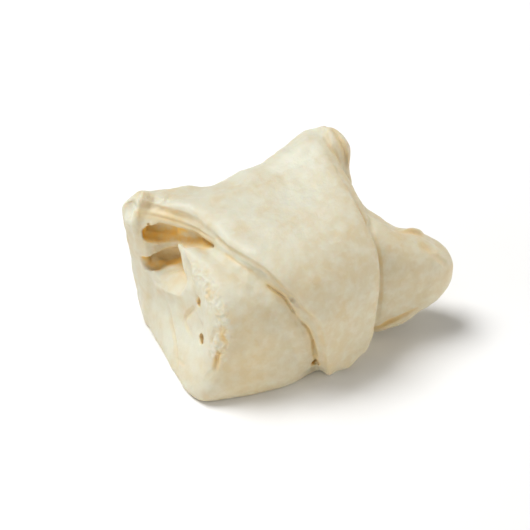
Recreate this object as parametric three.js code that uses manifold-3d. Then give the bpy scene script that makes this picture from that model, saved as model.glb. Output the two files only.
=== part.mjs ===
// An unbaked kouign amann: a thick square of laminated dough folded into a parcel.
// One corner of the square is drawn over the parcel as a strap and tucked under the front.
// Millimetres, +Z up. X runs along the parcel, Y from its front to its back, Z = 0 is the base.
import * as THREE from "three";
import { mergeVertices } from "three/addons/utils/BufferGeometryUtils.js";
import Module from "manifold-3d";

const wasm = await Module();
wasm.setup();

// The parcel: where its two ends lie along X, and how each end closes. A cap holds
// the length of its rounding and the share of the rib that stays flat.
const LEFT_END = -34;
const RIGHT_TIP = 41;
const LEFT_CAP = { rounding: 5, flat: 0.74 };
const RIGHT_CAP = { rounding: 11, flat: 0.3 };

// Its ribs at stations along X: front, back, underside and top. Those that go below
// the base are cut off there, and the right lobe stands clear of it.
const RIBS = [
  { x: -36, front: -23.8, back: 18.0, under: -8, top: 33 },
  { x: -18, front: -26.0, back: 17.5, under: -8, top: 34 },
  { x: 0, front: -24.2, back: 17.0, under: -9, top: 34.5 },
  { x: 14, front: -19.5, back: 16.0, under: -3, top: 34.5 },
  { x: 22, front: -17.6, back: 7.5, under: 1, top: 32 },
  { x: 30, front: -17.4, back: -1.5, under: 3.4, top: 27.5 },
  { x: 42, front: -18.2, back: -6.0, under: 8.5, top: 25.2 },
];
const FRONT_SQUARENESS = 2.7;
const BACK_SQUARENESS = 4.2;

// The left end leans in at its front corner and out at its back corner.
const FRONT_LEAN = { reach: 6.2, fromHeight: -4, toHeight: 22 };
const BACK_LEAN = { reach: -4.5, fromHeight: -8, toHeight: 36 };
const LEAN_TURNS = { frontY: -16, backY: 24 };
const LEAN_FADES = { fromLeft: -34, toRight: -14 };

// The strap: angles round a rib run from the front (0) over the top (90) to the back (180).
// Its edges are X at an angle. The tip thins where it is tucked under.
const STRAP_TIP = -60;
const STRAP_BACK_FOOT = 232;
const STRAP_LEFT_EDGE = [
  [-60, 3.6],
  [-24, 1.8],
  [5, -1.8],
  [33, -6.2],
  [54, -10.8],
  [72, -16.0],
  [96, -23.4],
  [113, -29.0],
  [128, -33.8],
  [150, -33.8],
  [232, -32.0],
];
const STRAP_RIGHT_EDGE = [
  [-60, 8.0],
  [-30, 13.0],
  [0, 16.5],
  [40, 18.2],
  [88, 16.8],
  [112, 15.6],
  [134, 17.2],
  [160, 17.5],
  [232, 14.0],
];
const STRAP_FLATNESS = 14;
const STRAP_END_CAP = { rounding: 12, flat: 0.4 };
const TIP_THINNING = { share: 0.4, fullAt: 10 };

// Its two laminations: heights over the ribs, how far they pass the edges, and the share
// of the back fold's lift that the inner face takes (0 where dough fills the fold). At the right
// ear the lower one curls out past the edge, and rises by a share of that.
const UPPER_LAYER = { inner: 0.2, outer: 4.4, widerLeft: 0, widerRight: 0, curl: 0, innerLift: 1 };
const LOWER_LAYER = { inner: -2, outer: 2.2, widerLeft: 0.8, widerRight: -1.6, curl: 6.6, innerLift: 0 };
const CURL = { angle: 128, reach: 13, raise: 0.38 };

// The back fold rises into an ear at each end and sags between them.
const BACK_FOLD = { angle: 128, reach: 34, lift: 1.5 };
const EARS = [
  { x: 22.5, reach: 13, lift: 11.0 },
  { x: -32, reach: 10, lift: 2.2 },
];

// How deep the strap's edges press into the parcel, between these angles.
const PINCH = { left: 2.4, right: 1.2, reach: 5 };
const PINCH_FROM = { none: -45, full: 5 };
const PINCH_TO = { full: 95, none: 130 };

// The open fold of the left end: the mouth, two tunnels behind it, the rolled ridge between
// them and the upright wall at its back. A low power gives a squarer block.
const MOUTH = { centre: [-37.4, -0.4, 27.8], half: [9.8, 10.4, 6.0], turned: [0, -14, 0], power: 0.6 };
const UPPER_TUNNEL = { centre: [-30, 5.2, 31], half: [7.0, 4.8, 2.4], turned: [0, -4, -14], power: 0.6 };
const LOWER_TUNNEL = { centre: [-30, 3.2, 24.2], half: [6.0, 7.0, 2.8], turned: [0, -6, -14], power: 0.6 };
const RIDGE = { from: [-32.5, 11, 26.2], to: [-29.5, 7.2, 27.2], radius: 1.9 };
const LEFT_WALL = { centre: [-26, 14.6, 12.5], half: [8.8, 6.2, 21.8], turned: [0, 0, 0], power: 0.4 };

// Gaps left where the sheet's layers part: a slit under the wall, and two on the front block's end.
const LAYER_GAPS = [
  { from: [-37, 9.4, 23.8], to: [-30, 7.6, 24.2], radius: 0.9 },
  { from: [-32, -9.6, 25.6], to: [-27, -10.8, 24.2], radius: 1.1 },
  { from: [-32, -12.6, 17.4], to: [-26.5, -13.8, 16.6], radius: 1.5 },
];

const DOUGH = { color: 0xe6dcc0, roughness: 0.55, metalness: 0 };

// Steps of the faceted surfaces, and a length past the whole part.
const PARCEL_STEPS = { round: 52, long: 40, cap: 5 };
const STRAP_STEPS = { round: 36, long: 56, cap: 4 };
const PILLOW_STEPS = { round: 20, high: 14 };
const ROLL_STEPS = { cap: 4, round: 12 };
const BEYOND = 100;

const lerp = THREE.MathUtils.lerp;
const smooth = THREE.MathUtils.smoothstep;
const radians = THREE.MathUtils.degToRad;

// A power that keeps its sign, for superellipses.
function signedPower(value, power) {
  return Math.sign(value) * Math.abs(value) ** power;
}

// A bell that is 1 at its middle and falls away over its reach.
function bell(distance, reach) {
  return Math.exp(-((distance / reach) ** 2));
}

// A smooth curve through a few [position, value] knots.
function throughKnots(knots) {
  const positions = knots.map((knot) => knot[0]);
  const values = knots.map((knot) => knot[1]);
  const curve = new THREE.CubicInterpolant(positions, values, 1);
  return (at) => curve.evaluate(THREE.MathUtils.clamp(at, positions[0], positions.at(-1)))[0];
}

const rib = {};
for (const side of ["front", "back", "under", "top"]) {
  rib[side] = throughKnots(RIBS.map((station) => [station.x, station[side]]));
}
const strapLeft = throughKnots(STRAP_LEFT_EDGE);
const strapRight = throughKnots(STRAP_RIGHT_EDGE);

// How far a point near the left end moves along X as that end leans.
function leftLean(x, y, z) {
  const inwards = FRONT_LEAN.reach * smooth(z, FRONT_LEAN.fromHeight, FRONT_LEAN.toHeight);
  const outwards = BACK_LEAN.reach * smooth(z, BACK_LEAN.fromHeight, BACK_LEAN.toHeight);
  const across = smooth(y, LEAN_TURNS.frontY, LEAN_TURNS.backY);
  return lerp(inwards, outwards, across) * smooth(-x, -LEAN_FADES.toRight, -LEAN_FADES.fromLeft);
}

// A point at an angle round the rib at x. Share 1 is on the surface, raise lifts it off.
function onRib(x, degrees, share, raise) {
  const front = rib.front(x);
  const back = rib.back(x);
  const under = rib.under(x);
  const top = rib.top(x);
  const c = Math.cos(radians(degrees));
  const s = Math.sin(radians(degrees));
  const power = 2 / (c > 0 ? FRONT_SQUARENESS : BACK_SQUARENESS);
  const halfWide = (back - front) / 2 + raise;
  const halfHigh = (top - under) / 2 + raise;
  const y = (front + back) / 2 - share * halfWide * signedPower(c, power);
  const z = (top + under) / 2 + share * halfHigh * signedPower(s, power);
  return new THREE.Vector3(x + leftLean(x, y, z), y, z);
}

// Moves every point of a lathe to its own place. The lathe's profile holds (share, along).
function shapeLathe(profile, steps, place) {
  const lathe = new THREE.LatheGeometry(profile, steps);
  const position = lathe.getAttribute("position");
  const rows = profile.length;
  for (let i = 0; i < position.count; i += 1) {
    const turn = Math.floor(i / rows) % steps;
    const point = profile[i % rows];
    const at = place(point.x, (360 * turn) / steps, point.y);
    position.setXYZ(i, at.x, at.y, at.z);
  }
  return lathe;
}

// A closed geometry as a solid that can be joined and cut.
function solidOf(geometry) {
  const bare = new THREE.BufferGeometry();
  bare.setAttribute("position", geometry.getAttribute("position").clone());
  bare.setIndex(geometry.index.clone());
  const merged = mergeVertices(bare, 1e-3);
  const corners = merged.index.array;
  const kept = [];
  for (let i = 0; i < corners.length; i += 3) {
    const [a, b, c] = corners.slice(i, i + 3);
    if (a !== b && b !== c && a !== c) kept.push(a, b, c);
  }
  const mesh = (faces) =>
    new wasm.Manifold(
      new wasm.Mesh({
        numProp: 3,
        vertProperties: merged.getAttribute("position").array,
        triVerts: new Uint32Array(faces),
      }),
    );
  const solid = mesh(kept);
  return solid.volume() > 0 ? solid : mesh(kept.reverse());
}

// Half of a closed form's stations, from its pole at an end to its full section.
function capStations(at, inwards, cap, steps) {
  const points = [];
  for (let i = 0; i <= steps; i += 1) {
    points.push(new THREE.Vector2((cap.flat * i) / steps, at));
  }
  for (let i = 1; i <= steps; i += 1) {
    const quarter = (Math.PI / 2) * (i / steps);
    const share = lerp(cap.flat, 1, Math.sin(quarter));
    points.push(new THREE.Vector2(share, at + inwards * cap.rounding * (1 - Math.cos(quarter))));
  }
  return points;
}

// The stations of a closed form with rounded ends, as (share, along) points.
function cappedProfile(from, to, startCap, endCap, steps) {
  const start = capStations(from, 1, startCap, steps.cap);
  const end = capStations(to, -1, endCap, steps.cap).reverse();
  const between = [];
  for (let i = 1; i < steps.long; i += 1) {
    between.push(new THREE.Vector2(1, lerp(start.at(-1).y, end[0].y, i / steps.long)));
  }
  return [...start, ...between, ...end];
}

// How deep the strap presses the parcel at a place.
function pinch(x, degrees) {
  const starts = smooth(degrees, PINCH_FROM.none, PINCH_FROM.full);
  const ends = 1 - smooth(degrees, PINCH_TO.full, PINCH_TO.none);
  const atLeft = PINCH.left * bell(x - strapLeft(degrees), PINCH.reach);
  const atRight = PINCH.right * bell(x - strapRight(degrees), PINCH.reach);
  return (atLeft + atRight) * starts * ends;
}

// The folded parcel under the strap.
function parcel() {
  const profile = cappedProfile(LEFT_END, RIGHT_TIP, LEFT_CAP, RIGHT_CAP, PARCEL_STEPS);
  return solidOf(
    shapeLathe(profile, PARCEL_STEPS.round, (share, turn, x) => {
      const degrees = turn > 270 ? turn - 360 : turn;
      return onRib(x, degrees, share, -pinch(x, degrees));
    }),
  );
}

// How far the back fold lifts the strap at a place.
function backFold(x, degrees) {
  let lift = BACK_FOLD.lift;
  for (const ear of EARS) lift += ear.lift * bell(x - ear.x, ear.reach);
  return lift * bell(degrees - BACK_FOLD.angle, BACK_FOLD.reach);
}

// One lamination of the strap, from its inner to its outer height over the ribs.
function strapLayer(layer) {
  const profile = cappedProfile(STRAP_TIP, STRAP_BACK_FOOT, STRAP_END_CAP, STRAP_END_CAP, STRAP_STEPS);
  const middle = (layer.inner + layer.outer) / 2;
  const half = (layer.outer - layer.inner) / 2;
  return solidOf(
    shapeLathe(profile, STRAP_STEPS.round, (share, turn, degrees) => {
      const curl = layer.curl * bell(degrees - CURL.angle, CURL.reach);
      const left = strapLeft(degrees) - layer.widerLeft;
      const right = strapRight(degrees) + layer.widerRight + curl;
      const across = Math.cos(radians(turn));
      const x = lerp(left, right, (across * share + 1) / 2);
      const edge = Math.sqrt(1 - Math.abs(across) ** STRAP_FLATNESS);
      const level = share * edge * Math.sign(180 - turn);
      const folded = backFold(x, degrees) + CURL.raise * curl * smooth(across, 0, 1);
      const lift = folded * lerp(layer.innerLift, 1, (level + 1) / 2);
      const thinning = lerp(TIP_THINNING.share, 1, smooth(degrees, STRAP_TIP, TIP_THINNING.fullAt));
      return onRib(x, degrees, 1, (middle + half * level) * thinning + lift);
    }),
  );
}

// A rounded block with superellipse sides, turned in degrees about its own middle.
function pillow({ centre, half, turned, power }) {
  const ball = new THREE.SphereGeometry(1, PILLOW_STEPS.round, PILLOW_STEPS.high);
  const turn = new THREE.Euler(...turned.map(radians));
  const position = ball.getAttribute("position");
  const point = new THREE.Vector3();
  for (let i = 0; i < position.count; i += 1) {
    point.fromBufferAttribute(position, i);
    point.fromArray(point.toArray().map((value) => signedPower(value, power)));
    point.multiply(new THREE.Vector3(...half)).applyEuler(turn);
    point.add(new THREE.Vector3(...centre));
    position.setXYZ(i, point.x, point.y, point.z);
  }
  return ball;
}

// The upright wall at the back of the open fold, which leans with the left end.
function leftWall() {
  const wall = pillow(LEFT_WALL);
  const position = wall.getAttribute("position");
  for (let i = 0; i < position.count; i += 1) {
    const lean = leftLean(position.getX(i), position.getY(i), position.getZ(i));
    position.setX(i, position.getX(i) + lean);
  }
  return solidOf(wall);
}

// A round-ended roll between two points.
function roll({ from, to, radius }) {
  const start = new THREE.Vector3(...from);
  const end = new THREE.Vector3(...to);
  const along = end.clone().sub(start);
  const capsule = new THREE.CapsuleGeometry(radius, along.length(), ROLL_STEPS.cap, ROLL_STEPS.round);
  const up = new THREE.Vector3(0, 1, 0);
  capsule.applyQuaternion(new THREE.Quaternion().setFromUnitVectors(up, along.clone().normalize()));
  capsule.translate(...start.lerp(end, 0.5).toArray());
  return solidOf(capsule);
}

// Everything below the base.
function belowBase() {
  const box = new THREE.BoxGeometry(2 * BEYOND, 2 * BEYOND, BEYOND);
  box.translate(0, 0, -BEYOND / 2);
  return solidOf(box);
}

// The whole parcel: the left fold is opened, the gaps are pierced, then the strap goes over.
function foldedDough() {
  let solid = parcel().add(leftWall());
  for (const hollow of [MOUTH, UPPER_TUNNEL, LOWER_TUNNEL]) solid = solid.subtract(solidOf(pillow(hollow)));
  solid = solid.add(roll(RIDGE));
  for (const gap of LAYER_GAPS) solid = solid.subtract(roll(gap));
  return solid.add(strapLayer(LOWER_LAYER)).add(strapLayer(UPPER_LAYER)).subtract(belowBase());
}

// A solid back as a geometry, with the middle of its base at the origin.
function centredGeometry(solid) {
  const mesh = solid.getMesh();
  const points = new Float32Array(mesh.numVert * 3);
  for (let i = 0; i < mesh.numVert; i += 1) {
    points.set(mesh.vertProperties.subarray(i * mesh.numProp, i * mesh.numProp + 3), i * 3);
  }
  const geometry = new THREE.BufferGeometry();
  geometry.setAttribute("position", new THREE.BufferAttribute(points, 3));
  geometry.setIndex(new THREE.BufferAttribute(mesh.triVerts, 1));
  geometry.computeBoundingBox();
  const middle = geometry.boundingBox.getCenter(new THREE.Vector3());
  geometry.translate(-middle.x, -middle.y, -geometry.boundingBox.min.z);
  geometry.computeVertexNormals();
  return geometry;
}

const dough = new THREE.Mesh(centredGeometry(foldedDough()), new THREE.MeshStandardMaterial(DOUGH));
dough.name = "dough";

const kouignAmann = new THREE.Group();
kouignAmann.add(dough);

export default kouignAmann;
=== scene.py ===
# %% [markdown]
# # An unbaked kouign amann
# This lesson dresses one piece of raw laminated dough: a square of layered dough that was folded into a
# parcel, with one corner drawn over the top like a strap. The solid model gives its size and its main
# folds. Here a copy of that solid is softened, creased and coloured until it looks like real dough.

import math

import bpy
import numpy as np
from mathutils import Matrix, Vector
from mathutils.bvhtree import BVHTree


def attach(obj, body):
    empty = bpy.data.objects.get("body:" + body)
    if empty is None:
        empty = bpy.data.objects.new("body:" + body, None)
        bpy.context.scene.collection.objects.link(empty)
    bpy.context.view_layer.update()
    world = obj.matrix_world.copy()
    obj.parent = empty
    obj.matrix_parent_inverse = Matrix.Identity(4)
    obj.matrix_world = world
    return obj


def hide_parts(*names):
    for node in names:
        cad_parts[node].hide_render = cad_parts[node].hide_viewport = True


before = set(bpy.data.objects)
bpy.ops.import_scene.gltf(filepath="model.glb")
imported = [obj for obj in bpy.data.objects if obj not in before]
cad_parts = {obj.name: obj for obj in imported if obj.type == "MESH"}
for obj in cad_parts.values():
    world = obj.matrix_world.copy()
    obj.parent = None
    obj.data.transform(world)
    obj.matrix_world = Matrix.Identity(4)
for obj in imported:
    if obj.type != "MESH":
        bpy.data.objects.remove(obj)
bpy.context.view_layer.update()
MM = 0.001

# %% [markdown]
# ## The camera
# A product photographer stands well back with a long lens, so that the parcel isn't stretched by
# perspective. The camera here looks 40 degrees down at the front, from 20 degrees to its left. A camera
# could be turned by hand with three angles, but a direction from the dough to the lens says the same thing
# and is easier to change. The same direction helper serves for the lamps.

# %% Place the camera
CAMERA_TURN = -20
CAMERA_RISE = 40
CAMERA_DISTANCE = 0.9
CAMERA_LENS = 235.4
LOOKED_AT = Vector((-7.15, 2.81, 20)) * MM


def direction(turn, rise):
    """The way from the dough, turn degrees round from the front towards the right and rise degrees up."""
    turn, rise = math.radians(turn), math.radians(rise)
    return Vector((math.sin(turn) * math.cos(rise), -math.cos(turn) * math.cos(rise), math.sin(rise)))


towards_lens = direction(CAMERA_TURN, CAMERA_RISE)
bpy.ops.object.select_all(action="DESELECT")
bpy.ops.object.camera_add(
    location=LOOKED_AT + towards_lens * CAMERA_DISTANCE,
    rotation=towards_lens.to_track_quat("Z", "Y").to_euler(),
)
camera = bpy.context.active_object
camera.data.lens = CAMERA_LENS
camera.data.clip_end = 10
bpy.context.scene.camera = camera
print("camera at", [round(value, 3) for value in camera.location])

# %% [markdown]
# ## Floor and light
# The dough lies on a white table under a soft lamp that hangs above it, a little to the left and behind.
# Such a lamp gives a short shadow towards the front, but alone it would leave the front too dark. A long
# white card stands low in front: it sends light back there and hardly touches the floor, so the shadow
# keeps its depth. Two more cards do the same for the ends, and white surroundings lift the rest. The
# colours are shown as they are, without a film look, so that pale dough stays pale.

# %% Lay the floor and hang the lamps
FLOOR_SIZE = 6
FLOOR_WHITE = 0.89
SURROUND_STRENGTH = 0.2
LAMP_WHITE = (1, 1, 1)
CARD_WHITE = (1, 0.96, 0.88)
LAMPS = {
    "hanging_lamp": {"turn": -141, "rise": 67, "size": (0.5, 0.5), "power": 9.6, "colour": LAMP_WHITE},
    "front_card": {"turn": -46, "rise": 4.5, "size": (1.3, 0.14), "power": 3.4, "colour": CARD_WHITE},
    "left_card": {"turn": -88, "rise": 30, "size": (0.6, 0.4), "power": 1.1, "colour": LAMP_WHITE},
    "side_card": {"turn": 62, "rise": 12, "size": (0.9, 0.3), "power": 5, "colour": CARD_WHITE},
}

bpy.ops.mesh.primitive_plane_add(size=FLOOR_SIZE)
floor = bpy.context.active_object
floor.name = "floor"
table_white = bpy.data.materials.new("table_white")
table_white.use_nodes = True
table_paint = table_white.node_tree.nodes["Principled BSDF"].inputs
table_paint["Base Color"].default_value = (FLOOR_WHITE, FLOOR_WHITE, FLOOR_WHITE, 1)
table_paint["Roughness"].default_value = 0.9
table_paint["Specular IOR Level"].default_value = 0
floor.data.materials.append(table_white)

for name, lamp in LAMPS.items():
    place = direction(lamp["turn"], lamp["rise"])
    bpy.ops.object.light_add(type="AREA", location=place, rotation=place.to_track_quat("Z", "Y").to_euler())
    light = bpy.context.active_object
    light.name = name
    light.data.shape = "RECTANGLE"
    light.data.size, light.data.size_y = lamp["size"]
    light.data.energy = lamp["power"]
    light.data.color = lamp["colour"]

world = bpy.data.worlds.new("white_room")
world.use_nodes = True
world.node_tree.nodes["Background"].inputs["Color"].default_value = (1, 1, 1, 1)
world.node_tree.nodes["Background"].inputs["Strength"].default_value = SURROUND_STRENGTH
bpy.context.scene.world = world
bpy.context.scene.view_settings.view_transform = "Standard"
print("lamps:", list(LAMPS), "surroundings", SURROUND_STRENGTH)

# %% [markdown]
# ## A soft copy of the solid
# The solid has flat little facets and hard meeting lines. Dough has neither. The facets could be smoothed
# with a subdivision surface, but their sizes differ too much for that. So a copy is merged into one skin and
# remeshed into even small squares, which can then be smoothed, pressed and carved anywhere.

# %% Copy the solid and remesh it
DOUGH_GRAIN = 0.32 * MM


def choose(piece):
    """Makes one object the only selected one, and the active one."""
    bpy.ops.object.select_all(action="DESELECT")
    piece.select_set(True)
    bpy.context.view_layer.objects.active = piece


def modify(piece, kind, **settings):
    """Adds a modifier with these settings and applies it."""
    modifier = piece.modifiers.new(kind, kind)
    for name, value in settings.items():
        setattr(modifier, name, value)
    choose(piece)
    bpy.ops.object.modifier_apply(modifier=modifier.name)


choose(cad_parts["dough"])
bpy.ops.object.duplicate()
dough = bpy.context.active_object
dough.name = "folded_dough"
dough.parent = None
bpy.ops.object.mode_set(mode="EDIT")
bpy.ops.mesh.select_all(action="SELECT")
bpy.ops.mesh.remove_doubles(threshold=0.01 * MM)
bpy.ops.object.mode_set(mode="OBJECT")
modify(dough, "REMESH", mode="VOXEL", voxel_size=DOUGH_GRAIN)
print("faces after remeshing:", len(dough.data.polygons))

# %% [markdown]
# ## Rolled rims
# Where a sheet of dough turns over, its edge is a plump little roll. It could be pulled out of the surface
# with a sculpting brush. Here each roll is drawn as a curve with a round section that swells and thins
# along its length, as a pipe of icing does, because a curve is easy to place and to change. Each one is
# pushed half into the dough, and the next remeshing fuses them. A few of them fill a groove of the solid
# where the real layers lie together.

# %% Add the rolled rims


def dough_roll(name, places, thickness):
    """A closed roll through places, in mm, whose radius at each is given in thickness, in mm."""
    line = bpy.data.curves.new(name, "CURVE")
    line.dimensions = "3D"
    line.bevel_depth = MM
    line.bevel_resolution = 4
    line.resolution_u = 8
    line.use_fill_caps = True
    spline = line.splines.new("BEZIER")
    spline.bezier_points.add(len(places) - 1)
    for point, place, radius in zip(spline.bezier_points, places, thickness):
        point.co = Vector(place) * MM
        point.radius = radius
        point.handle_left_type = "AUTO"
        point.handle_right_type = "AUTO"
    roll = bpy.data.objects.new(name, line)
    bpy.context.scene.collection.objects.link(roll)
    choose(roll)
    bpy.ops.object.convert(target="MESH")
    bpy.ops.object.mode_set(mode="EDIT")
    bpy.ops.mesh.select_all(action="SELECT")
    bpy.ops.mesh.remove_doubles(threshold=0.01 * MM)
    bpy.ops.mesh.normals_make_consistent(inside=False)
    bpy.ops.object.mode_set(mode="OBJECT")
    return roll


RIMS = {
    "left_ear_rim": (
        [(-36.8, 17, 18), (-36.8, 15.8, 26), (-37, 16.4, 31.5), (-37.2, 18, 34.5), (-35.4, 18.3, 37),
         (-32, 17.2, 37.4), (-28.5, 14.6, 37.4)],
        [1, 1.6, 2, 2, 1.9, 1.5, 0.8],
    ),
    "right_ear_roll": (
        [(14.6, 22, 43.4), (17.2, 19.8, 43.6), (19, 17, 41.4), (19.2, 14.8, 38.7), (19.3, 13, 36)],
        [1.2, 2.2, 2.4, 1.7, 0.7],
    ),
    "right_ear_inner_roll": (
        [(16.2, 18.6, 44), (16.4, 16.6, 42.6), (16.8, 15, 40.6), (17.4, 13.6, 38.2), (17.8, 12.4, 35.6)],
        [0.9, 1.3, 1.3, 1.1, 0.7],
    ),
    "strap_right_shoulder": (
        [(15.2, 15, 41.2), (15, 12.6, 39.6), (15, 10, 38.2), (15.1, 7, 37.4), (15.4, 4, 36.4),
         (16.4, 1, 34.9), (17.5, -2, 33), (18.6, -5, 31)],
        [1.4, 2.2, 2.7, 2.8, 2.8, 2.3, 1.6, 0.8],
    ),
    "strap_lower_layer": (
        [(-13.4, -16.2, 32.7), (-11, -18.4, 30.4), (-8.5, -20.4, 27.3), (-6.6, -22, 24.4), (-4.7, -23, 21.9),
         (-3, -23.4, 17.4), (-2.2, -23.5, 13.5), (-1.5, -23, 8.4), (-1.1, -22.2, 4.5)],
        [0.7, 1.1, 1.3, 1.4, 1.4, 1.4, 1.4, 1.3, 1.1],
    ),
    "shoulder_of_the_block": (
        [(-23.4, 0, 31.1), (-22.4, -3, 31.7), (-21.2, -6, 32.3), (-19.7, -9, 32.3), (-17.9, -12, 31.5),
         (-16.3, -14.2, 30), (-14.8, -15.8, 28.2), (-13.2, -16.8, 26.6), (-11, -18.2, 23.6), (-9.3, -19, 20),
         (-7.6, -19.2, 16.4), (-6.4, -19.2, 12), (-5.4, -19, 8), (-4.8, -18.4, 4)],
        [0.9, 1.3, 1.5, 1.6, 1.8, 2.3, 3.3, 4.3, 4.6, 4.7, 4.7, 4.7, 4.4, 3.8],
    ),
    "tip_end": ([(-1, -20, 3.6), (1.8, -20.6, 3.3), (5.4, -21, 3.2), (8.6, -19.8, 4)], [0.8, 2.1, 2.8, 2.1]),
    "strap_right_foot": (
        [(8, -19.6, 2.6), (10.6, -18.8, 4.2), (12.6, -17.6, 8), (13.6, -16, 13)],
        [1.6, 2, 1.6, 0.8],
    ),
    "tongue_underlayer": (
        [(16.5, -11.5, 2.7), (20.5, -12.5, 3.9), (25, -13, 5.1), (29.5, -13, 7.3), (32.5, -12, 9.7)],
        [1.6, 1.6, 1.5, 1.2, 0.6],
    ),
    "tongue_top_pleat": (
        [(24, -3.6, 29.4), (29, -4, 27), (32.6, -5, 25.4), (34, -6.6, 24.6)],
        [0.5, 0.9, 1.2, 0.5],
    ),
    "tongue_middle_pleat": ([(30.4, -7.6, 26.3), (33.2, -8.6, 25.2), (35.6, -10.4, 23.8)], [0.4, 0.8, 0.6]),
    "tongue_front_pleat": ([(32, -11.4, 25), (35.2, -12.2, 23.2), (37.4, -12.8, 20.8)], [0.4, 0.8, 0.6]),
    "nose_of_the_block": (
        [(-30, 5, 32), (-29.3, 2.6, 31), (-29, 0.6, 28.6), (-28.7, -1.6, 26.4), (-28.5, -4, 24.6)],
        [0.6, 1.3, 1.6, 1.6, 1],
    ),
    "inside_of_the_block": ([(-29.7, -10.6, 16.4), (-27, -9.6, 15.6), (-24.5, -9, 15)], [1.4, 1.8, 1.4]),
    "floor_of_the_fold": (
        [(-34, 9.5, 15.8), (-31.6, 4.4, 18), (-29.6, -0.2, 20.3), (-28.5, -4, 22.5)],
        [2, 2.4, 2.4, 1.4],
    ),
}
rims = [dough_roll(name, *shape) for name, shape in RIMS.items()]
choose(dough)
for rim in rims:
    rim.select_set(True)
bpy.ops.object.join()
modify(dough, "REMESH", mode="VOXEL", voxel_size=DOUGH_GRAIN)
print("rims added:", len(RIMS))

# %% [markdown]
# ## Layers that lie together
# Soft layers sag on to each other and leave no air between. The rolls still stand a little apart from the
# strap. If the whole skin swells and then shrinks by the same amount, every narrow gap grows together and
# everything else keeps its size. It is done with two Displace modifiers and a remeshing after each.

# %% Close the narrow gaps
CLOSED_GAP = 1.8 * MM

for way in (1, -1):
    modify(dough, "DISPLACE", strength=way * CLOSED_GAP / 2, mid_level=0)
    modify(dough, "REMESH", mode="VOXEL", voxel_size=DOUGH_GRAIN)
print("gaps closed up to", round(CLOSED_GAP / MM, 1), "mm")

# %% [markdown]
# ## The open fold and the gaps
# At the left end the sheet stands open: one hollow runs back under the strap and another under the upright
# wall. Between layers that don't quite meet there are small gaps as well, two on the end of the front
# block and two at the strap's foot. They could be pushed in, but a push stretches the skin. A boolean cut
# with the same kind of roll leaves clean walls.

# %% Carve the open fold and the gaps


def carve(piece, cutter):
    """Takes the cutter's shape out of the piece and removes the cutter."""
    modify(piece, "BOOLEAN", operation="DIFFERENCE", solver="MANIFOLD", object=cutter)
    bpy.data.objects.remove(cutter)


HOLLOWS = {
    "under_the_strap": (
        [(-37, 13.2, 30.4), (-35.4, 12.6, 30.5), (-32.6, 11.4, 30.6), (-29.5, 9.4, 30.7), (-26.5, 6.4, 31.4),
         (-24, 2.6, 32.2), (-21.8, -0.6, 33)],
        [1.5, 2.4, 2.9, 2.9, 2.3, 1.4, 0.4],
    ),
    "deep_under_the_strap": ([(-35.2, 14.8, 31.6), (-32, 13.6, 31.5), (-28.6, 10.8, 31.3)], [1.7, 2.3, 2.2]),
    "front_of_the_ridge": (
        [(-36, 7.8, 27.2), (-33, 7.2, 27.2), (-31, 6.8, 27.2), (-29.2, 6.4, 27.4), (-28, 6, 27.6)],
        [3.6, 4.2, 4.2, 3.6, 2],
    ),
    "slit_below_the_wall": (
        [(-40, 16, 20.9), (-37.4, 13.8, 22), (-35.4, 12.8, 22.6), (-32.5, 11.6, 23.2), (-29.6, 9.8, 24),
         (-27.6, 8, 25)],
        [0.4, 0.9, 1.9, 2.5, 2.6, 2],
    ),
    "deep_below_the_wall": ([(-35, 14.6, 22.6), (-31.6, 13.2, 23.2), (-28, 10.8, 24.2)], [1.7, 2.4, 2.2]),
    "upper_gap": ([(-29.6, -9.9, 24.7), (-28.9, -9, 23.2), (-29.2, -8.1, 21.9)], [0.4, 1.2, 0.5]),
    "upper_gap_inside": ([(-30, -8.8, 23.3), (-26.5, -8.4, 22.8)], [0.8, 0.7]),
    "lower_gap": ([(-29.4, -14.8, 13.8), (-29.2, -13.4, 14.2), (-30, -11.6, 14.5)], [1.1, 1.7, 0.6]),
    "lower_gap_inside": ([(-30, -13.6, 14.2), (-26.4, -13.8, 14)], [0.9, 0.8]),
    "beside_the_tip": ([(-3, -25.4, 6.2), (-2.2, -19, 5.4)], [1.2, 0.8]),
    "under_the_foot": ([(10, -23, 1.4), (9.3, -18.4, 2.8)], [0.8, 0.4]),
}
for name, shape in HOLLOWS.items():
    carve(dough, dough_roll(name, *shape))
modify(dough, "REMESH", mode="VOXEL", voxel_size=DOUGH_GRAIN)
modify(dough, "SMOOTH", factor=0.5, iterations=6)
print("faces after carving:", len(dough.data.polygons))

# %% [markdown]
# ## Soft places
# A few edges that the carving and the rolls left are too crisp for dough. A smoothing brush would be run
# along them by hand. Here the same is done with weights: a line is drawn in space, the skin near it is
# weight painted, and a Smooth modifier follows that paint. The helpers of this step are used again for
# every later mark on the skin.

# %% Smooth the soft places


def places_of(piece):
    """The piece's vertices, in mm."""
    spots = np.empty(len(piece.data.vertices) * 3)
    piece.data.vertices.foreach_get("co", spots)
    return spots.reshape(-1, 3) / MM


def line_through(places, step=0.3):
    """Points about every step mm on a smooth line through places."""
    knots = np.array(places, float)
    if len(knots) == 1:
        return knots
    ends = [2 * knots[0] - knots[1]], [2 * knots[-1] - knots[-2]]
    padded = np.concatenate([ends[0], knots, ends[1]])
    points = []
    for before, start, end, after in zip(padded, padded[1:], padded[2:], padded[3:]):
        share = np.linspace(0, 1, max(2, int(np.linalg.norm(end - start) / step)), endpoint=False)[:, None]
        points.append(0.5 * (
            2 * start + (end - before) * share
            + (2 * before - 5 * start + 4 * end - after) * share**2
            + (3 * start - before - 3 * end + after) * share**3
        ))
    return np.concatenate(points + [knots[-1:]])


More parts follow.
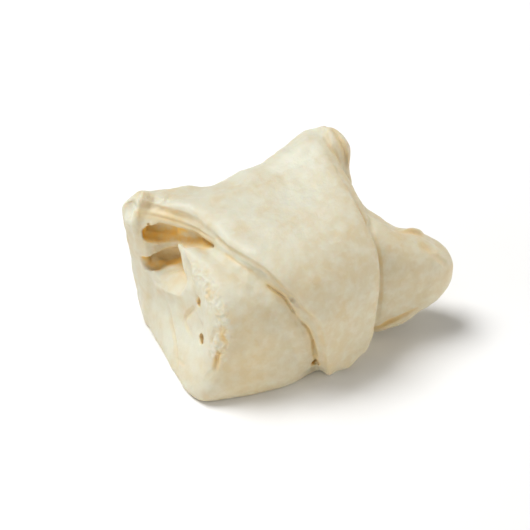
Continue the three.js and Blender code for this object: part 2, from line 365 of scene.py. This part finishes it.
def closeness(spots, places, reach, tapered=False):
    """For each spot, 1 on the line through places, falling softly to 0 at reach mm from it.
    A tapered line also fades towards its two ends."""
    line = line_through(places)
    fade = np.sin(np.linspace(0.12, 0.88, len(line)) * math.pi) if tapered else np.ones(len(line))
    share = np.zeros(len(spots))
    near = np.all((spots > line.min(0) - reach) & (spots < line.max(0) + reach), axis=1)
    strongest = np.zeros(near.sum())
    for point, strength in zip(line, fade):
        distance = np.linalg.norm(spots[near] - point, axis=1)
        strongest = np.maximum(strongest, strength * np.clip(1 - (distance / reach) ** 2, 0, 1) ** 2)
    share[near] = strongest
    return share


def paint_weights(piece, name, shares):
    """Stores shares as a vertex group, as weight painting does."""
    group = piece.vertex_groups.get(name) or piece.vertex_groups.new(name=name)
    for index in np.nonzero(shares > 0.002)[0].tolist():
        group.add([index], shares[index], "REPLACE")


SOFT_PLACES = {
    "front_of_the_fold": ([(-35.5, 10, 19), (-33, 5, 19), (-30.5, 0, 22), (-29.5, -3, 24)], 5, 60),
    "top_of_the_ridge": ([(-35.4, 12.6, 28.6), (-32.6, 11, 28.8), (-29.6, 9.6, 28.8)], 2.2, 25),
    "strap_right_shoulder": ([(15.6, 14, 41.6), (16, 10, 40), (16.4, 6, 39.4), (16.8, 2, 38)], 3.5, 40),
    "base_bead": ([(-33, -12, 1.6), (-31.6, -19.6, 1.9), (-26, -23.2, 1.7)], 5, 45),
    "tip_foot": ([(9, -20, 2), (12, -18.5, 6), (14, -16, 12)], 4, 25),
    "tip_edge": ([(-0.5, -22.6, 3), (4, -23.4, 3), (8, -21.6, 3)], 4, 40),
    "left_ear_corner": ([(-38.7, 20.4, 36.1)], 4, 30),
    "ceiling_of_the_fold": ([(-36, 14.4, 33.4), (-34.4, 14, 33.4)], 1.8, 30),
    "under_the_lip": (
        [(-24.4, -3.7, 32.7), (-22.7, -7.8, 32.9), (-20.2, -12.3, 32), (-18.4, -14.8, 31.2),
         (-15.6, -16.4, 30)],
        3, 25,
    ),
}
for name, (places, reach, passes) in SOFT_PLACES.items():
    paint_weights(dough, name, closeness(places_of(dough), places, reach))
    modify(dough, "SMOOTH", factor=0.6, iterations=passes, vertex_group=name)
print("soft places:", len(SOFT_PLACES))

# %% [markdown]
# ## Swellings and pressed places
# Dough isn't drawn with a ruler: the back fold is plumper in the middle, the ears and the tongue were
# pressed by fingers, and the base has spread a little under the weight. A sculptor would use a grab brush.
# Here a Displace modifier moves the skin wherever it is painted: along its normals where it swells or is
# pressed, and along one axis where it sinks or spreads.

# %% Raise the swellings and press the rest


def push(piece, name, marks, way, along="NORMAL"):
    """Moves the skin near each mark by its amount, in mm: outwards if way is 1, inwards if it is -1.
    Instead of its normals, the skin can move along X, Y or Z."""
    spots = places_of(piece)
    moved = sum(amount * closeness(spots, places, reach, tapered) for places, reach, amount, tapered in marks)
    paint_weights(piece, name, moved / moved.max())
    strength = way * moved.max() * MM
    modify(piece, "DISPLACE", strength=strength, mid_level=0, vertex_group=name, direction=along)


SWELLINGS = {
    "back_fold": ([(-5.7, 22, 35.8), (-1.6, 22, 37.6), (2.6, 22, 39.4), (6.8, 22, 41.4)], 9, 1.3),
    "bump_by_the_left_ear": ([(-22.3, 21, 36.2)], 4.5, 0.6),
    "left_ear_bump": ([(-34.8, 19, 38.8)], 2.6, 0.9),
    "tongue_bump": ([(29.5, -4.4, 27.6)], 2.6, 0.2),
}
PRESSED_PLACES = {
    "left_ear_corner": ([(-38.7, 20.4, 36.1)], 5.5, 2.2),
    "tongue_end": ([(35.4, -8.6, 24.4)], 5, 0.6),
    "dip_by_the_left_ear": ([(-16.2, 21, 34)], 4, 0.5),
    "left_of_the_back_fold": (
        [(-31, 18.4, 39.2), (-25.7, 17.6, 38.9), (-17.4, 17.7, 38.2), (-12, 18.3, 38)], 6.5, 1.4,
    ),
    "shoulder_of_the_right_ear": ([(7, 22.6, 42.2), (10.5, 23.4, 44.6), (13, 23, 45.6)], 5, 1.4),
    "tongue_back": ([(21.9, 2.8, 31), (23.8, 0.5, 30.2), (25.5, -1, 29.2), (27.1, -2.5, 28.3)], 5, 1.7),
}
PRESSED_DOWN = {
    "front_edge_of_the_fold": (
        [(-36.2, 12.6, 20.6), (-34.4, 8.4, 20.6), (-32.8, 4.6, 21.2), (-31.4, 1, 22)], 4.2, 2,
    ),
}
SPREAD_TO_THE_LEFT = {
    "left_base_edge": ([(-36, 10, 2), (-35, 0, 2), (-34, -10, 2), (-32.4, -20, 2)], 10, 1.3),
}
SPREAD_TO_THE_FRONT = {
    "front_base_edge": ([(-33, -20.4, 2), (-27, -21.4, 2), (-19, -22.2, 2), (-12, -22, 2)], 9, 1.2),
    "tip_left_corner": ([(-0.4, -23, 2)], 3, 0.8),
}
SPREAD_TO_THE_RIGHT = {"tip_right_side": ([(12, -20, 8), (10.5, -20.6, 4)], 4.5, 1.1)}
for name, marks, way, along in (
    ("swellings", SWELLINGS, 1, "NORMAL"),
    ("pressed_places", PRESSED_PLACES, -1, "NORMAL"),
    ("pressed_down", PRESSED_DOWN, -1, "Z"),
    ("spread_left", SPREAD_TO_THE_LEFT, -1, "X"),
    ("spread_front", SPREAD_TO_THE_FRONT, -1, "Y"),
    ("spread_right", SPREAD_TO_THE_RIGHT, 1, "X"),
):
    push(dough, name, [(*mark, False) for mark in marks.values()], way, along)
    print(name, list(marks))

# %% [markdown]
# ## Creases
# Where layers meet, and where the skin was bent, there are fine lines: two along the strap's left edge, a
# few in the ears, pleats on the tongue, wrinkles on the end of the block and the lines of the fold at the
# back. They could be drawn with a bump texture, but a line made of real skin catches light from every
# side. The skin near the lines is divided once more, pressed in along the lines, and then smoothed a
# little so that no crease is knife-sharp. Wrinkles fade out at both ends and seams don't.

# %% Press the creases
BESIDE_A_CREASE = 1.5
SEAMS = {
    "lip_upper": (
        [(-23.4, 4.5, 32), (-22, 1.4, 32.4), (-21, -3.4, 33.4), (-20.1, -6.9, 34), (-18.6, -10, 33.7),
         (-16.4, -13.1, 33.2)],
        0.8, 0.5,
    ),
    "lip_foot": ([(-3.8, -23.9, 14.4), (-3, -23.4, 9.3), (-2, -22, 4.5)], 0.8, 0.7),
    "between_the_layers": (
        [(-21.6, -0.9, 36), (-19.7, -7, 36.2), (-17.8, -10.8, 36.4), (-15.8, -14.3, 36), (-13.9, -16.6, 34.9),
         (-12, -18.6, 33), (-10.2, -20.3, 30.9), (-8.5, -21.7, 28.1)],
        1.1, 0.3,
    ),
    "between_the_layers_foot": (
        [(-8.5, -21.7, 28.1), (-6.2, -24.1, 25.7), (-3.9, -25.9, 22.9), (-2.9, -26.2, 19.5),
         (-2.2, -26, 15.4), (-1.7, -25.7, 11.9), (-1.2, -25.1, 8.1)],
        1.1, 0.4,
    ),
}
WRINKLES = {
    "lip_middle": (
        [(-17.5, -11.6, 33.4), (-16.4, -13.1, 33.2), (-14.3, -15.4, 31.5), (-13.3, -17.7, 30.7),
         (-11.9, -19.2, 29.8), (-10.5, -20.4, 28.7), (-8.7, -22.1, 25.2), (-7.6, -22.4, 23.2)],
        0.6, 0.8,
    ),
    "lip_lower": (
        [(-8.7, -22.1, 25.2), (-6.7, -22.8, 21.5), (-5.1, -23.6, 19), (-3.8, -23.9, 14.4), (-3, -23.4, 9.3)],
        0.6, 0.8,
    ),
    "strap_right_edge": (
        [(20.2, 1.4, 31.6), (19.7, 0.3, 31.9), (18.6, -7, 31.5), (18.2, -11.8, 28.5), (18, -14.4, 23.4),
         (17.3, -15.4, 14.6)],
        1.3, 0.4,
    ),
    "strap_right_foot": (
        [(17.8, -14.8, 18.4), (17.3, -15.4, 12), (17, -13.4, 3.5), (16.8, -12, 1)], 1.4, 0.35,
    ),
    "right_ear_boundary": (
        [(16, 21.5, 45), (15.4, 18.5, 44.5), (15.8, 15.8, 43), (16.6, 14.1, 41.3), (17.1, 12.4, 39.8),
         (17.7, 9.8, 38.4)],
        1.0, 0.5,
    ),
    "tongue_underlayer_line": (
        [(14.6, -12.8, 3), (17.5, -13.4, 4.2), (20.9, -13.8, 5.6), (24.7, -14, 6.8), (28.4, -14.6, 8.5)],
        0.9, 0.6,
    ),
    "left_ear_recess": (
        [(-37, 16.7, 36.8), (-34, 16, 36.7), (-30.7, 13.4, 36.5), (-27.2, 10, 36.6), (-24.4, 6.4, 36.4)],
        1.4, 0.45,
    ),
    "left_ear_layer": (
        [(-36.3, 16, 35), (-32, 13.3, 35), (-28, 9.5, 34.8), (-24.2, 4.5, 34.6), (-22, -0.3, 35)], 0.7, 0.3,
    ),
    "left_ear_nick": ([(-32.6, 20.6, 39.4), (-32.4, 17.6, 38.8), (-30.4, 15.2, 38.4)], 1.6, 0.8),
    "right_ear_outer_swirl": (
        [(17.9, 19.9, 45.6), (18.3, 18.1, 45.1), (18.6, 16.5, 44.2), (19.2, 14.3, 41.4), (18.9, 13.2, 38.7)],
        1.0, 0.7,
    ),
    "tongue_pleat_line": ([(26.6, -5, 27.5), (30.4, -5.4, 26.9), (33.6, -6.3, 25.5)], 1.3, 0.6),
    "tongue_second_line": ([(31.2, -11, 26.2), (32.6, -11.3, 25.4), (34, -11.4, 24.6)], 1.7, 0.8),
    "tongue_third_line": ([(33.4, -12.9, 24.2), (35.4, -13.4, 22.2), (37.4, -13.9, 19.8)], 1.2, 0.5),
    "gap_crease": (
        [(-29.8, -8, 21), (-30.5, -5.8, 18.1), (-31.1, -4.4, 15.8), (-31.6, -4, 13.9), (-31.5, -6.3, 12.7),
         (-31.4, -8.3, 12.3)],
        1.1, 0.45,
    ),
    "block_wrinkle": ([(-25.8, -19.6, 23.4), (-26.7, -20, 20.9), (-26.3, -21.6, 18.6)], 0.9, 0.8),
    "block_long_wrinkle": ([(-27.6, -21.4, 16.6), (-28.6, -21, 14.2), (-29.4, -21.4, 10.6)], 1.0, 0.75),
    "block_short_wrinkle": ([(-28.4, -18.4, 20.6), (-29.2, -18.2, 16)], 0.8, 0.3),
    "left_face_crease": (
        [(-33.4, 4, 13.4), (-33.3, 1.6, 10), (-33.7, -0.9, 8.4), (-34.2, -3.3, 7), (-35, -7.4, 4.4),
         (-35.2, -9.8, 2.4)],
        1.1, 0.5,
    ),
    "left_face_fold": ([(-35, -7.2, 4), (-33.6, -12.4, 5.6)], 0.9, 0.35),
    "corner_crease": ([(-32, -20, 3), (-31.3, -20.3, 7.2), (-29.6, -21.2, 10.6)], 1.0, 0.3),
    "floor_crease": ([(-33.6, 8.4, 20.4), (-31, 7.4, 21.2), (-28.4, 6.6, 22)], 0.9, 0.5),
    "back_layer_line": ([(-36, 23.4, 11), (-22, 24.3, 13.6), (-4, 24.8, 12.4), (12, 24.6, 14)], 1.6, 0.6),
    "back_fold_line": ([(-30, 24.6, 27.4), (-14, 25, 29), (4, 25.4, 30.2)], 1.8, 0.45),
    "right_rear_line": ([(15.4, 19.6, 30), (15.2, 19.4, 20), (15.6, 19, 9)], 1.4, 0.4),
}


def select_faces(piece, chosen):
    """Selects the faces at which chosen is true, and no others."""
    bpy.ops.object.mode_set(mode="EDIT")
    bpy.ops.mesh.select_mode(type="FACE")
    bpy.ops.mesh.select_all(action="DESELECT")
    bpy.ops.object.mode_set(mode="OBJECT")
    piece.data.polygons.foreach_set("select", chosen)


def face_places(piece):
    """The middles of the piece's faces, in mm."""
    middles = np.empty(len(piece.data.polygons) * 3)
    piece.data.polygons.foreach_get("center", middles)
    return middles.reshape(-1, 3) / MM


def near_lines(spots):
    """For each spot, how close it lies to any of the creases, a little wider than they are."""
    return sum(closeness(spots, places, reach * BESIDE_A_CREASE) for places, reach, depth, tapered in lines)


lines = [(*mark, False) for mark in SEAMS.values()] + [(*mark, True) for mark in WRINKLES.values()]
select_faces(dough, near_lines(face_places(dough)) > 0.02)
bpy.ops.object.mode_set(mode="EDIT")
bpy.ops.mesh.subdivide(number_cuts=1)
bpy.ops.object.mode_set(mode="OBJECT")

paint_weights(dough, "along_the_lines", np.clip(near_lines(places_of(dough)), 0, 1))
modify(dough, "SMOOTH", factor=0.5, iterations=6, vertex_group="along_the_lines")
push(dough, "creases", lines, -1)
modify(dough, "SMOOTH", factor=0.5, iterations=5, vertex_group="along_the_lines")
print("creases:", len(lines), "faces:", len(dough.data.polygons))

# %% [markdown]
# ## Hand-made skin
# Fingers and the rolling pin leave shallow dents all over, the left ear is lumpy where it was pinched, and
# the cut end of the block is crumbly. Noise in the material alone would leave the outline smooth, so all
# three come from a Displace modifier that reads a cloud texture: large faint clouds for the dents, and
# smaller ones for the lumps and the crumbs, painted only where they belong. The base stays flat.

# %% Dent the skin and crumble the cut end
DENTS = {"hand_dents": (8, 0.7), "finger_dents": (3.2, 0.3)}
CRUMB_SIZE = 0.9
CRUMB_HEIGHT = 0.8
CRUMB_REACH = 4.5
CRUMB_EDGE = [
    (-29.4, -5, 30.6), (-27.9, -9.6, 30.6), (-27.8, -14.6, 28.1), (-27, -18.5, 26), (-27, -19.8, 21.4),
    (-28.6, -20.8, 15.6),
]
EAR_LUMP_SIZE = 2.4
EAR_LUMP_HEIGHT = 1.2
EAR_LUMP_REACH = 5
EAR_EDGE = [(-38, 18, 33), (-37.4, 18.6, 36.6), (-34.6, 18.2, 38), (-30, 16.6, 38.4)]
BASE_BLEND = 2.0


def rough_up(piece, name, size, height, shares):
    """Moves the skin in and out by clouds of this size, in mm, where shares says."""
    clouds = bpy.data.textures.new(name, "CLOUDS")
    clouds.noise_scale = size * MM
    paint_weights(piece, name, shares)
    modify(piece, "DISPLACE", texture=clouds, texture_coords="LOCAL", strength=height * MM, mid_level=0.5,
           vertex_group=name)


above_base = np.clip(places_of(dough)[:, 2] / BASE_BLEND, 0, 1)
for name, (size, height) in DENTS.items():
    rough_up(dough, name, size, height, above_base)
rough_up(dough, "crumbs", CRUMB_SIZE, CRUMB_HEIGHT, closeness(places_of(dough), CRUMB_EDGE, CRUMB_REACH))
pinched = closeness(places_of(dough), EAR_EDGE, EAR_LUMP_REACH)
rough_up(dough, "ear_lumps", EAR_LUMP_SIZE, EAR_LUMP_HEIGHT, pinched)
print("dented, lowest point", round(places_of(dough)[:, 2].min(), 2), "mm")

# %% [markdown]
# ## A lighter mesh
# All those small squares are more than a reusable part should carry. The Decimate modifier merges them where
# the skin is nearly flat and keeps them where it bends, so the creases lose little. A coarser remeshing
# would be simpler, but it would blur them.

# %% Thin the mesh
MOST_TRIANGLES = 190000


def triangles_of(piece):
    """How many triangles the piece's faces make."""
    return sum(len(face.vertices) - 2 for face in piece.data.polygons)


triangles = triangles_of(dough)
modify(dough, "DECIMATE", ratio=min(1, MOST_TRIANGLES / triangles))
bpy.ops.object.shade_smooth()
print("triangles:", triangles, "thinned to", triangles_of(dough))

# %% [markdown]
# ## Butter, and painted light and shade
# Raw laminated dough is cream, and butter shows as ochre between its layers. Light and shade are painted
# into the colour as well: the side that faces the lamps is painted a paler cream and the side turned away a
# warmer one, and folds and hollows are painted ochre where shade falls in them and light glows through thin
# layers. A texture could be painted for that, but here the shares are stored on the mesh itself, so they stay
# in place from every side. How deep a spot lies is measured with rays: the more of them meet dough nearby,
# the more sheltered the spot and the more painted shade it gets. Fine lines of butter and painted shade
# follow the creases. Open stains of butter and painted shade lie on the skin, and fold stains of painted
# shade, glow and butter only show in shelter.

# %% Paint the butter and the dry skin
SHELTER_RAYS = 16
SHELTER_REACH = 9 * MM
CRUMB_COLOUR_REACH = 4
# How much painted shade, as ochre, sheltered spots get, and at most in a hollow.
BUTTER_AND_SHADE_FROM_SHELTER = 0.22
SHADE_FROM_SHELTER = 0.1
MOST_SHADE_IN_A_HOLLOW = 0.45
# Painted light: the side that faces the lamps, which is painted a paler cream.
LAMP_SIDE = Vector((-0.7, 0.1, 0.7)).normalized()
# Lines of butter and of painted shade along the creases.
BUTTER_AND_SHADE_LINES = {
    "lip_upper": 0.45, "lip_middle": 0.55, "lip_lower": 0.5, "lip_foot": 0.5, "between_the_layers": 0.25,
    "between_the_layers_foot": 0.25, "back_layer_line": 0.3, "strap_right_edge": 0.15,
    "strap_right_foot": 0.15,
    "right_ear_boundary": 0.3, "tongue_underlayer_line": 0.7, "left_ear_recess": 0.5, "left_ear_layer": 0.5,
    "right_ear_outer_swirl": 0.4, "tongue_pleat_line": 0.4, "tongue_second_line": 0.4,
    "tongue_third_line": 0.25,
    "gap_crease": 0.3, "block_wrinkle": 0.7, "block_long_wrinkle": 0.6, "block_short_wrinkle": 0.25,
    "left_face_crease": 0.25, "left_face_fold": 0.2, "corner_crease": 0.2, "floor_crease": 0.3,
}
# Mostly painted shade, with some butter: soft ochre in the left ear's recess, beside the lip and the strap,
# at the right ear's end and over the front of the block.
OPEN_BUTTER_AND_SHADE = {
    "left_ear_recess": ([(-36.6, 15.6, 35.6), (-32, 13, 35.8), (-28, 9.3, 36)], 2.8, 0.45),
    "beside_the_lip": (
        [(-16.4, -13.1, 33), (-10.5, -20.4, 28.5), (-6.7, -22.8, 21.5), (-3, -23.4, 9)], 2.6, 0.2,
    ),
    "right_ear_end": ([(17.6, 17.5, 44.2), (18.6, 15, 41.8), (19.3, 13.2, 38)], 2, 0.12),
    "beside_the_strap": ([(20.6, -4, 30.4), (20, -10, 27.6), (19.6, -13, 22)], 3, 0.12),
    "front_of_the_block": ([(-20, -21.5, 17), (-23, -22, 6)], 12, 0.19),
}
# Painted shade in the open fold, the gaps and beside the tip, which also stands for light glowing through
# thin layers; butter too. They only show where a spot is sheltered.
FOLD_SHADE_GLOW_AND_BUTTER = {
    "under_the_strap": ([(-37.6, 13.4, 30.2), (-35, 13.4, 30.4), (-32, 12.4, 30.6), (-29, 10.2, 31)], 6.2, 1),
    "end_under_the_strap": ([(-28.5, 10, 30), (-25.8, 8, 29.7), (-24, 5.4, 30.9), (-22.6, 2, 32.4)], 3, 0.75),
    "below_the_wall": (
        [(-38, 14.4, 22), (-35.4, 14, 22.8), (-33, 13.2, 23.4), (-29.4, 11.2, 24.4)], 4.2, 0.95,
    ),
    "floor_below_the_wall": (
        [(-38, 13.6, 21), (-35.6, 12.8, 21.4), (-33, 12, 21.4), (-28, 9.6, 22.6)], 3.2, 0.85,
    ),
    "floor_of_the_fold": ([(-35, 10, 20), (-31, 8, 21), (-28, 6, 22)], 5, 0.2),
    "low_end_of_the_fold": ([(-35.4, 14.4, 20.8), (-34.3, 13, 20), (-33.2, 11, 19.9)], 2.8, 0.7),
    "upper_gap": ([(-29, -8.8, 23), (-27.4, -8.5, 22.9)], 2.4, 0.8),
    "beside_the_tip": ([(-2.9, -24, 6), (-2.4, -20.6, 5.6)], 2.4, 0.75),
    "lower_gap": ([(-29.2, -13, 14.3), (-27.2, -13.6, 14)], 2.8, 0.8),
}


def normals_of(piece):
    """The directions in which the piece's vertices face."""
    normals = np.empty(len(piece.data.vertices) * 3)
    piece.data.vertices.foreach_get("normal", normals)
    return normals.reshape(-1, 3)


def sheltered(piece):
    """For each vertex, the share of a fan of rays that meets the piece again nearby."""
    tree = BVHTree.FromObject(piece, bpy.context.evaluated_depsgraph_get())
    fan = []
    for ray in range(SHELTER_RAYS):
        height = math.sqrt(1 - (ray + 0.5) / SHELTER_RAYS)
        around = ray * math.pi * (3 - math.sqrt(5))
        width = math.sqrt(1 - height**2)
        fan.append(Vector((width * math.cos(around), width * math.sin(around), height)))
    shares = np.zeros(len(piece.data.vertices))
    for vertex in piece.data.vertices:
        turn = Vector((0, 0, 1)).rotation_difference(vertex.normal)
        start = vertex.co + vertex.normal * 0.05 * MM
        met = sum(tree.ray_cast(start, turn @ ray, SHELTER_REACH)[0] is not None for ray in fan)
        shares[vertex.index] = met / SHELTER_RAYS
    return shares


def spread(piece, shares, passes):
    """Evens out shares between neighbouring vertices."""
    ends = np.empty(len(piece.data.edges) * 2, int)
    piece.data.edges.foreach_get("vertices", ends)
    first, second = ends.reshape(-1, 2).T
    neighbours = np.bincount(ends, minlength=len(shares))
    for step in range(passes):
        total = np.bincount(first, shares[second], len(shares))
        total += np.bincount(second, shares[first], len(shares))
        shares = 0.5 * shares + 0.5 * total / neighbours
    return shares


def paint(piece, name, shares):
    """Stores shares as a named attribute that a material can read."""
    piece.data.attributes.new(name, "FLOAT", "POINT").data.foreach_set("value", shares.astype(np.float32))


spots = places_of(dough)
shelter = spread(dough, sheltered(dough), 4)
# Painted shade: the more sheltered a spot, the more ochre, up to a limit. Butter and stains are added next.
butter_and_shade = np.clip((shelter - BUTTER_AND_SHADE_FROM_SHELTER) * 1.5, 0, MOST_SHADE_IN_A_HOLLOW)
for name, strength in BUTTER_AND_SHADE_LINES.items():
    places, reach, depth = SEAMS.get(name) or WRINKLES[name]
    butter_and_shade = np.maximum(butter_and_shade, strength * closeness(spots, places, reach + depth, name in WRINKLES))
shaded = np.clip((shelter - SHADE_FROM_SHELTER) * 5, 0, 1)
for places, reach, strength in OPEN_BUTTER_AND_SHADE.values():
    butter_and_shade = np.maximum(butter_and_shade, strength * closeness(spots, places, reach))
for places, reach, strength in FOLD_SHADE_GLOW_AND_BUTTER.values():
    butter_and_shade = np.maximum(butter_and_shade, strength * shaded * closeness(spots, places, reach))
paint(dough, "butter_and_shade", spread(dough, butter_and_shade, 2))
paint(dough, "crumbly", closeness(spots, CRUMB_EDGE, CRUMB_COLOUR_REACH))
# Painted light: vertices that face the lamps get the paler cream, the rest the warmer, shaded cream.
facing_the_lamps = np.clip(normals_of(dough) @ np.array(LAMP_SIDE), 0, 1)
paint(dough, "painted_lit_side", spread(dough, facing_the_lamps, 30))
print("mean butter", round(float(butter_and_shade.mean()), 3), "mean dryness", round(float(facing_the_lamps.mean()), 3))

# %% [markdown]
# ## Dough
# Raw dough is a pale cream with a satin skin, and light goes a little way into it and comes out warmer. One
# Principled shader with some subsurface does that. Its colour is mixed from the painted shares and broken
# up by noise at several sizes, and the finest noise gives the skin its soft tooth. A photograph wrapped
# round the dough could do it too, but it would stretch on the sides that the photograph never saw.

# %% Make the dough material
# The two creams are one dough, lit and shaded: painted light and painted shade.
LIT_SIDE_CREAM = (0.63, 0.62, 0.5, 1)
SHADED_SIDE_CREAM = (0.58, 0.51, 0.355, 1)
WARM_MOTTLE = (0.585, 0.475, 0.285, 1)
PALE_MOTTLE = (0.63, 0.615, 0.5, 1)
# Pale specks at random over the skin; on the crumbly end they are painted highlights.
PALE_SPECK_AND_HIGHLIGHT = (0.68, 0.66, 0.56, 1)
# Ochre of butter and of painted shade; the deep ochre also stands for light glowing through thin layers.
BUTTER_AND_SHADE_OCHRE = (0.69, 0.49, 0.2, 1)
DEEP_BUTTER_SHADE_AND_GLOW = (0.82, 0.46, 0.07, 1)

material = bpy.data.materials.new("raw_dough")
material.use_nodes = True
tree = material.node_tree
shader = tree.nodes["Principled BSDF"]


def add_node(kind, **inputs):
    """A new node with these values on its inputs; a socket as value is linked."""
    made = tree.nodes.new(kind)
    for name, value in inputs.items():
        socket = made.inputs[name.replace("_", " ")]
        if isinstance(value, bpy.types.NodeSocket):
            tree.links.new(value, socket)
        else:
            socket.default_value = value
    return made


def share_of(name):
    """The painted attribute of this name."""
    made = tree.nodes.new("ShaderNodeAttribute")
    made.attribute_name = name
    return made.outputs["Fac"]


def noise(scale, detail):
    """A cloud of bright and dark spots, about one spot in each 1/scale metres."""
    return add_node("ShaderNodeTexNoise", Vector=where, Scale=scale, Detail=detail).outputs["Fac"]


def stretched(value, low, high, to_low, to_high):
    """A value between low and high, moved to lie between to_low and to_high."""
    made = add_node(
        "ShaderNodeMapRange", Value=value, From_Min=low, From_Max=high, To_Min=to_low, To_Max=to_high,
    )
    return made.outputs["Result"]


def product(first, second):
    """One value times another."""
    made = tree.nodes.new("ShaderNodeMath")
    made.operation = "MULTIPLY"
    tree.links.new(first, made.inputs[0])
    tree.links.new(second, made.inputs[1])
    return made.outputs[0]


def blend(share, first, second):
    """The first colour where share is 0, the second where it is 1."""
    made = tree.nodes.new("ShaderNodeMix")
    made.data_type = "RGBA"
    tree.links.new(share, made.inputs["Factor"])
    for socket, colour in zip((made.inputs[6], made.inputs[7]), (first, second)):
        if isinstance(colour, bpy.types.NodeSocket):
            tree.links.new(colour, socket)
        else:
            socket.default_value = colour
    return made.outputs[2]


where = tree.nodes.new("ShaderNodeTexCoord").outputs["Object"]
mottle = noise(130, 3)
small_mottle = noise(330, 3)
speckle = noise(620, 4)
crumb_spots = noise(520, 4)
tooth = noise(2400, 2)
# Painted light: paler cream on the side towards the lamps, warmer cream in their shade.
colour = blend(stretched(share_of("painted_lit_side"), 0.32, 0.85, 0, 1), SHADED_SIDE_CREAM, LIT_SIDE_CREAM)
colour = blend(stretched(mottle, 0.4, 0.7, 0, 0.65), colour, WARM_MOTTLE)
colour = blend(stretched(small_mottle, 0.42, 0.7, 0, 0.6), colour, PALE_MOTTLE)
colour = blend(stretched(speckle, 0.5, 0.8, 0, 0.35), colour, PALE_SPECK_AND_HIGHLIGHT)
# On the crumbly end: ochre spots for butter and painted shade between crumbs, and pale spots as painted
# highlights on them.
crumbly = share_of("crumbly")
colour = blend(product(crumbly, stretched(crumb_spots, 0.5, 0.66, 0, 0.3)), colour, BUTTER_AND_SHADE_OCHRE)
colour = blend(product(crumbly, stretched(crumb_spots, 0.5, 0.36, 0, 0.7)), colour, PALE_SPECK_AND_HIGHLIGHT)
# Butter and painted shade: ochre, and deep ochre in the hollows, where it also stands for light glowing
# through thin layers.
butter_and_shade_share = product(share_of("butter_and_shade"), stretched(speckle, 0.3, 0.7, 0.8, 1.15))
colour = blend(stretched(butter_and_shade_share, 0.05, 0.7, 0, 1), colour, BUTTER_AND_SHADE_OCHRE)
colour = blend(stretched(butter_and_shade_share, 0.55, 1, 0, 1), colour, DEEP_BUTTER_SHADE_AND_GLOW)
tree.links.new(colour, shader.inputs["Base Color"])
tree.links.new(stretched(mottle, 0.3, 0.7, 0.42, 0.58), shader.inputs["Roughness"])
skin_relief = add_node("ShaderNodeBump", Strength=0.35, Distance=0.15 * MM, Height=tooth)
speckle_relief = add_node(
    "ShaderNodeBump", Strength=0.4, Distance=0.3 * MM, Height=speckle, Normal=skin_relief.outputs[0],
)
tree.links.new(speckle_relief.outputs[0], shader.inputs["Normal"])
shader.inputs["Subsurface Weight"].default_value = 0.3
shader.inputs["Subsurface Radius"].default_value = (1, 0.55, 0.25)
shader.inputs["Subsurface Scale"].default_value = 3 * MM
shader.inputs["Specular IOR Level"].default_value = 0.35
dough.data.materials.clear()
dough.data.materials.append(material)
print("nodes in the dough material:", len(tree.nodes))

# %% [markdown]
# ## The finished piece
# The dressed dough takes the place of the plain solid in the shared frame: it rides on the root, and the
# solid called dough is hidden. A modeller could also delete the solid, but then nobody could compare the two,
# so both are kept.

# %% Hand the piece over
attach(dough, "root")
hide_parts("dough")
